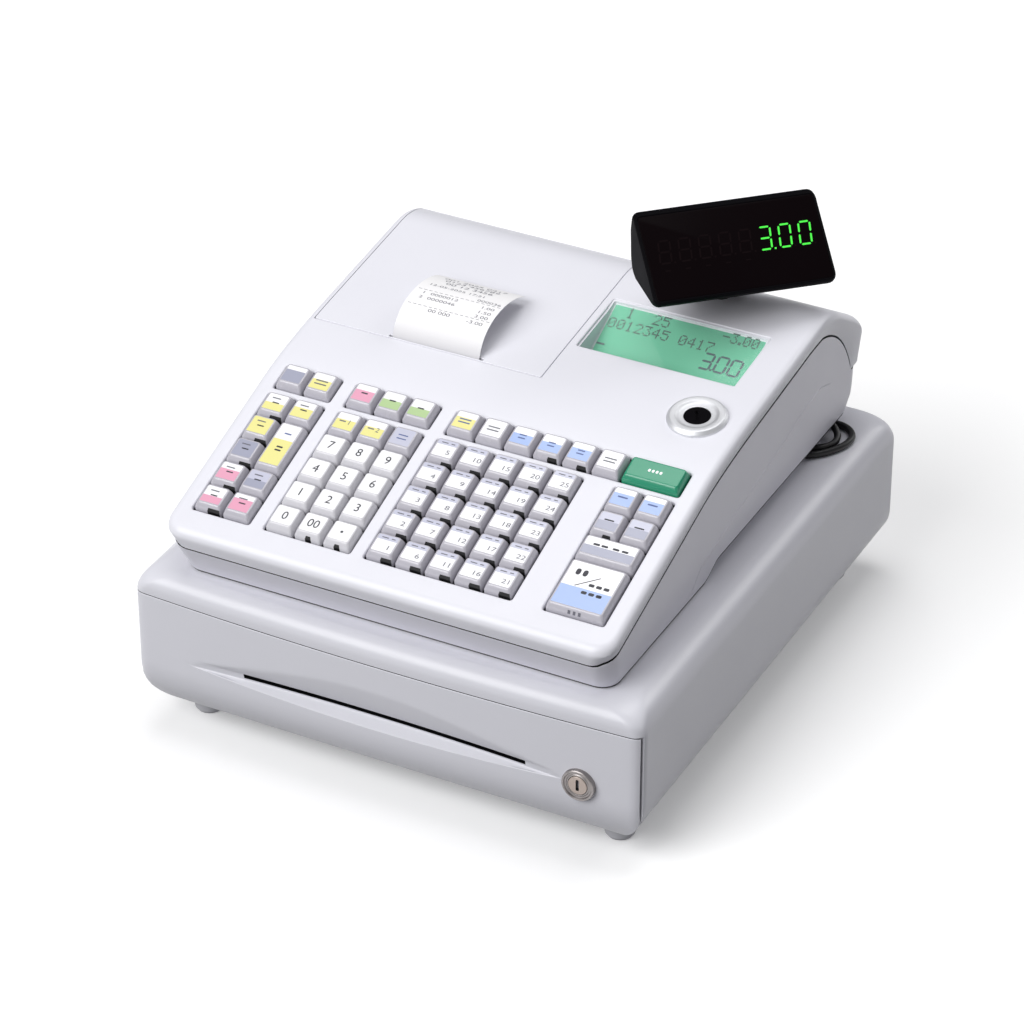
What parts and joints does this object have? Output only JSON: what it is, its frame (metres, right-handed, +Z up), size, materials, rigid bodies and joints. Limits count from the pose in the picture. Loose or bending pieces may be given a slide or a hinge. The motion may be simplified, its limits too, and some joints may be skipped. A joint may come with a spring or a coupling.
{
  "type": "cash register with drawer cabinet",
  "caption": "Counter-top register: sloped keyboard, receipt printer, operator display and turning customer display on a locking cash drawer cabinet.",
  "frame": {"origin": "middle of the footprint, on the plane that the feet stand on", "axes": "+X to the user's right, +Y to the back, away from the user, +Z up"},
  "size_m": [0.33, 0.368, 0.2706],
  "materials": {
    "case_plastic": "fine satin moulded plastic",
    "lower_plastic": "fine satin moulded plastic",
    "cabinet_plastic": "fine satin moulded plastic",
    "pan_metal": "grey powder coat",
    "foot_rubber": "soft grey rubber",
    "roller_plastic": "smooth",
    "tray_metal": "galvanised sheet",
    "till_plastic": "fine grained",
    "steel": "ground",
    "chrome": "polished",
    "copper_part": "lacquered winding",
    "dark_plastic": "smooth black",
    "lcd_glass": "clear window, green tinted",
    "lcd_green": "lit panel",
    "board_green": "solder mask",
    "unit_metal": "grey paint",
    "roller_rubber": "ground rubber",
    "brass": "cut",
    "paper_white": "uncoated thermal paper",
    "lens_black": "smoked lens",
    "tube_green": "display tube",
    "cable_black": "smooth",
    "key_white": "smooth",
    "key_grey": "smooth",
    "key_blue": "smooth",
    "key_green": "smooth",
    "bed_plastic": "moulded"
  },
  "bodies": {
    "root": {"cabinet_shell": "cabinet_plastic", "cabinet_base": "pan_metal", "cabinet_feet": "foot_rubber", "latch_solenoid": "copper_part", "lower_case": "lower_plastic", "upper_case": "case_plastic", "display_bezel": "case_plastic", "lcd_window": "lcd_glass", "lcd_panel": "lcd_green", "mode_ring": "chrome", "key_bed": "bed_plastic", "main_board": "board_green", "power_unit": "unit_metal", "power_inlet": "dark_plastic", "printer_frame": "unit_metal", "drive_motor": "steel", "display_pole": "dark_plastic", "drawer_cable": "cable_black", "case_screws": "steel"},
    "drawer": {"drawer_tray": "tray_metal", "drawer_front": "cabinet_plastic", "till_insert": "till_plastic", "clip_rod": "steel", "lock_barrel": "chrome"},
    "roller_left": {"roller_left": "roller_plastic"},
    "roller_right": {"roller_right": "roller_plastic"},
    "lock_plug": {"lock_plug": "chrome"},
    "latch_lever": {"latch_lever": "steel"},
    "printer_cover": {"printer_cover": "case_plastic", "receipt_paper": "paper_white"},
    "mode_plug": {"mode_plug": "dark_plastic"},
    "platen_roller": {"platen_roller": "roller_rubber"},
    "motor_pinion": {"motor_pinion": "brass"},
    "paper_roll": {"paper_roll": "paper_white"},
    "display_head": {"display_head": "dark_plastic", "display_lens": "lens_black", "display_tube": "tube_green"},
    "bill_clip_1": {"bill_clip_1": "till_plastic"},
    "bill_clip_2": {"bill_clip_2": "till_plastic"},
    "bill_clip_3": {"bill_clip_3": "till_plastic"},
    "bill_clip_4": {"bill_clip_4": "till_plastic"},
    "key_0": {"key_0": "key_white"},
    "key_1": {"key_1": "key_white"},
    "key_2": {"key_2": "key_white"},
    "key_3": {"key_3": "key_white"},
    "key_4": {"key_4": "key_white"},
    "key_5": {"key_5": "key_white"},
    "key_6": {"key_6": "key_white"},
    "key_7": {"key_7": "key_white"},
    "key_8": {"key_8": "key_white"},
    "key_9": {"key_9": "key_white"},
    "key_00": {"key_00": "key_white"},
    "key_dot": {"key_dot": "key_white"},
    "key_total": {"key_total": "key_blue"},
    "key_subtotal": {"key_subtotal": "key_grey"},
    "key_green": {"key_green": "key_green"},
    "department_keys": {"department_keys": "key_white"},
    "left_keys": {"left_keys": "key_white"},
    "upper_keys": {"upper_keys": "key_white"},
    "right_keys": {"right_keys": "key_grey"}
  },
  "joints": [
    {"name": "drawer_slide", "type": "slide", "parent": "root", "child": "drawer", "axis": [0, -1, 0], "range_m": [0, 0.25]},
    {"name": "roller_left_spin", "type": "hinge", "parent": "root", "child": "roller_left", "pos_m": [-0.146, -0.1436, 0.05], "axis": [1, 0, 0], "range_deg": [-10, 1800]},
    {"name": "roller_right_spin", "type": "hinge", "parent": "root", "child": "roller_right", "pos_m": [0.146, -0.1436, 0.05], "axis": [1, 0, 0], "range_deg": [-10, 1800]},
    {"name": "bill_clip_1_lift", "type": "hinge", "parent": "drawer", "child": "bill_clip_1", "pos_m": [-0.10328, 0.1044, 0.072], "axis": [-1, 0, 0], "range_deg": [0, 35], "stiffness_Nm_per_rad": 0.02, "springref_deg": -11.46},
    {"name": "bill_clip_2_lift", "type": "hinge", "parent": "drawer", "child": "bill_clip_2", "pos_m": [-0.03442, 0.1044, 0.072], "axis": [-1, 0, 0], "range_deg": [0, 35], "stiffness_Nm_per_rad": 0.02, "springref_deg": -11.46},
    {"name": "bill_clip_3_lift", "type": "hinge", "parent": "drawer", "child": "bill_clip_3", "pos_m": [0.03442, 0.1044, 0.072], "axis": [-1, 0, 0], "range_deg": [0, 35], "stiffness_Nm_per_rad": 0.02, "springref_deg": -11.46},
    {"name": "bill_clip_4_lift", "type": "hinge", "parent": "drawer", "child": "bill_clip_4", "pos_m": [0.10328, 0.1044, 0.072], "axis": [-1, 0, 0], "range_deg": [0, 35], "stiffness_Nm_per_rad": 0.02, "springref_deg": -11.46},
    {"name": "drawer_lock_turn", "type": "hinge", "parent": "drawer", "child": "lock_plug", "pos_m": [0.1272, -0.1796, 0.0545], "axis": [0, -1, 0], "range_deg": [0, 90]},
    {"name": "latch_lift", "type": "hinge", "parent": "root", "child": "latch_lever", "pos_m": [0, 0.1704, 0.029], "axis": [-1, 0, 0], "range_deg": [0, 10], "stiffness_Nm_per_rad": 0.05, "springref_deg": -17.19},
    {"name": "printer_cover_lift", "type": "hinge", "parent": "root", "child": "printer_cover", "pos_m": [-0.06, 0.1269, 0.2026], "axis": [-1, 0, 0], "range_deg": [0, 65]},
    {"name": "mode_turn", "type": "hinge", "parent": "root", "child": "mode_plug", "pos_m": [0.114, -0.0051, 0.1953], "axis": [0, -0.1444, 0.9895], "range_deg": [-60, 60]},
    {"name": "platen_spin", "type": "hinge", "parent": "root", "child": "platen_roller", "pos_m": [-0.057, -0.0124, 0.18], "axis": [1, 0, 0], "continuous": true},
    {"name": "pinion_spin", "type": "hinge", "parent": "root", "child": "motor_pinion", "pos_m": [-0.1, -0.02131, 0.17109], "axis": [1, 0, 0], "continuous": true},
    {"name": "paper_roll_spin", "type": "hinge", "parent": "root", "child": "paper_roll", "pos_m": [-0.057, 0.0804, 0.16], "axis": [1, 0, 0], "continuous": true},
    {"name": "display_turn", "type": "hinge", "parent": "root", "child": "display_head", "pos_m": [0.0745, 0.1114, 0.215], "axis": [0, 0, 1], "range_deg": [-43, 136]},
    {"name": "key_0_press", "type": "slide", "parent": "root", "child": "key_0", "axis": [0, 0.3074, -0.9516], "range_m": [0, 0.002], "stiffness_N_per_m": 300, "springref_m": -0.001},
    {"name": "key_1_press", "type": "slide", "parent": "root", "child": "key_1", "axis": [0, 0.3074, -0.9516], "range_m": [0, 0.002], "stiffness_N_per_m": 300, "springref_m": -0.001},
    {"name": "key_2_press", "type": "slide", "parent": "root", "child": "key_2", "axis": [0, 0.3074, -0.9516], "range_m": [0, 0.002], "stiffness_N_per_m": 300, "springref_m": -0.001},
    {"name": "key_3_press", "type": "slide", "parent": "root", "child": "key_3", "axis": [0, 0.3074, -0.9516], "range_m": [0, 0.002], "stiffness_N_per_m": 300, "springref_m": -0.001},
    {"name": "key_4_press", "type": "slide", "parent": "root", "child": "key_4", "axis": [0, 0.3074, -0.9516], "range_m": [0, 0.002], "stiffness_N_per_m": 300, "springref_m": -0.001},
    {"name": "key_5_press", "type": "slide", "parent": "root", "child": "key_5", "axis": [0, 0.3074, -0.9516], "range_m": [0, 0.002], "stiffness_N_per_m": 300, "springref_m": -0.001},
    {"name": "key_6_press", "type": "slide", "parent": "root", "child": "key_6", "axis": [0, 0.3074, -0.9516], "range_m": [0, 0.002], "stiffness_N_per_m": 300, "springref_m": -0.001},
    {"name": "key_7_press", "type": "slide", "parent": "root", "child": "key_7", "axis": [0, 0.3074, -0.9516], "range_m": [0, 0.002], "stiffness_N_per_m": 300, "springref_m": -0.001},
    {"name": "key_8_press", "type": "slide", "parent": "root", "child": "key_8", "axis": [0, 0.3074, -0.9516], "range_m": [0, 0.002], "stiffness_N_per_m": 300, "springref_m": -0.001},
    {"name": "key_9_press", "type": "slide", "parent": "root", "child": "key_9", "axis": [0, 0.3074, -0.9516], "range_m": [0, 0.002], "stiffness_N_per_m": 300, "springref_m": -0.001},
    {"name": "key_00_press", "type": "slide", "parent": "root", "child": "key_00", "axis": [0, 0.3074, -0.9516], "range_m": [0, 0.002], "stiffness_N_per_m": 300, "springref_m": -0.001},
    {"name": "key_dot_press", "type": "slide", "parent": "root", "child": "key_dot", "axis": [0, 0.3074, -0.9516], "range_m": [0, 0.002], "stiffness_N_per_m": 300, "springref_m": -0.001},
    {"name": "key_total_press", "type": "slide", "parent": "root", "child": "key_total", "axis": [0, 0.3074, -0.9516], "range_m": [0, 0.002], "stiffness_N_per_m": 500, "springref_m": -0.001},
    {"name": "key_subtotal_press", "type": "slide", "parent": "root", "child": "key_subtotal", "axis": [0, 0.3074, -0.9516], "range_m": [0, 0.002], "stiffness_N_per_m": 500, "springref_m": -0.001},
    {"name": "key_green_press", "type": "slide", "parent": "root", "child": "key_green", "axis": [0, 0.3074, -0.9516], "range_m": [0, 0.002], "stiffness_N_per_m": 500, "springref_m": -0.001},
    {"name": "department_keys_press", "type": "slide", "parent": "root", "child": "department_keys", "axis": [0, 0.3074, -0.9516], "range_m": [0, 0.002], "stiffness_N_per_m": 3750, "springref_m": -0.001},
    {"name": "left_keys_press", "type": "slide", "parent": "root", "child": "left_keys", "axis": [0, 0.3074, -0.9516], "range_m": [0, 0.002], "stiffness_N_per_m": 1650, "springref_m": -0.001},
    {"name": "upper_keys_press", "type": "slide", "parent": "root", "child": "upper_keys", "axis": [0, 0.3074, -0.9516], "range_m": [0, 0.002], "stiffness_N_per_m": 1800, "springref_m": -0.001},
    {"name": "right_keys_press", "type": "slide", "parent": "root", "child": "right_keys", "axis": [0, 0.3074, -0.9516], "range_m": [0, 0.002], "stiffness_N_per_m": 600, "springref_m": -0.001}
  ],
  "couplings": [
    {"joint": "roller_left_spin", "follows": "drawer_slide", "rad_per_m": 125},
    {"joint": "roller_right_spin", "follows": "drawer_slide", "rad_per_m": 125},
    {"joint": "pinion_spin", "follows": "platen_spin", "ratio": -2},
    {"joint": "paper_roll_spin", "follows": "platen_spin", "ratio": 0.22424}
  ]
}
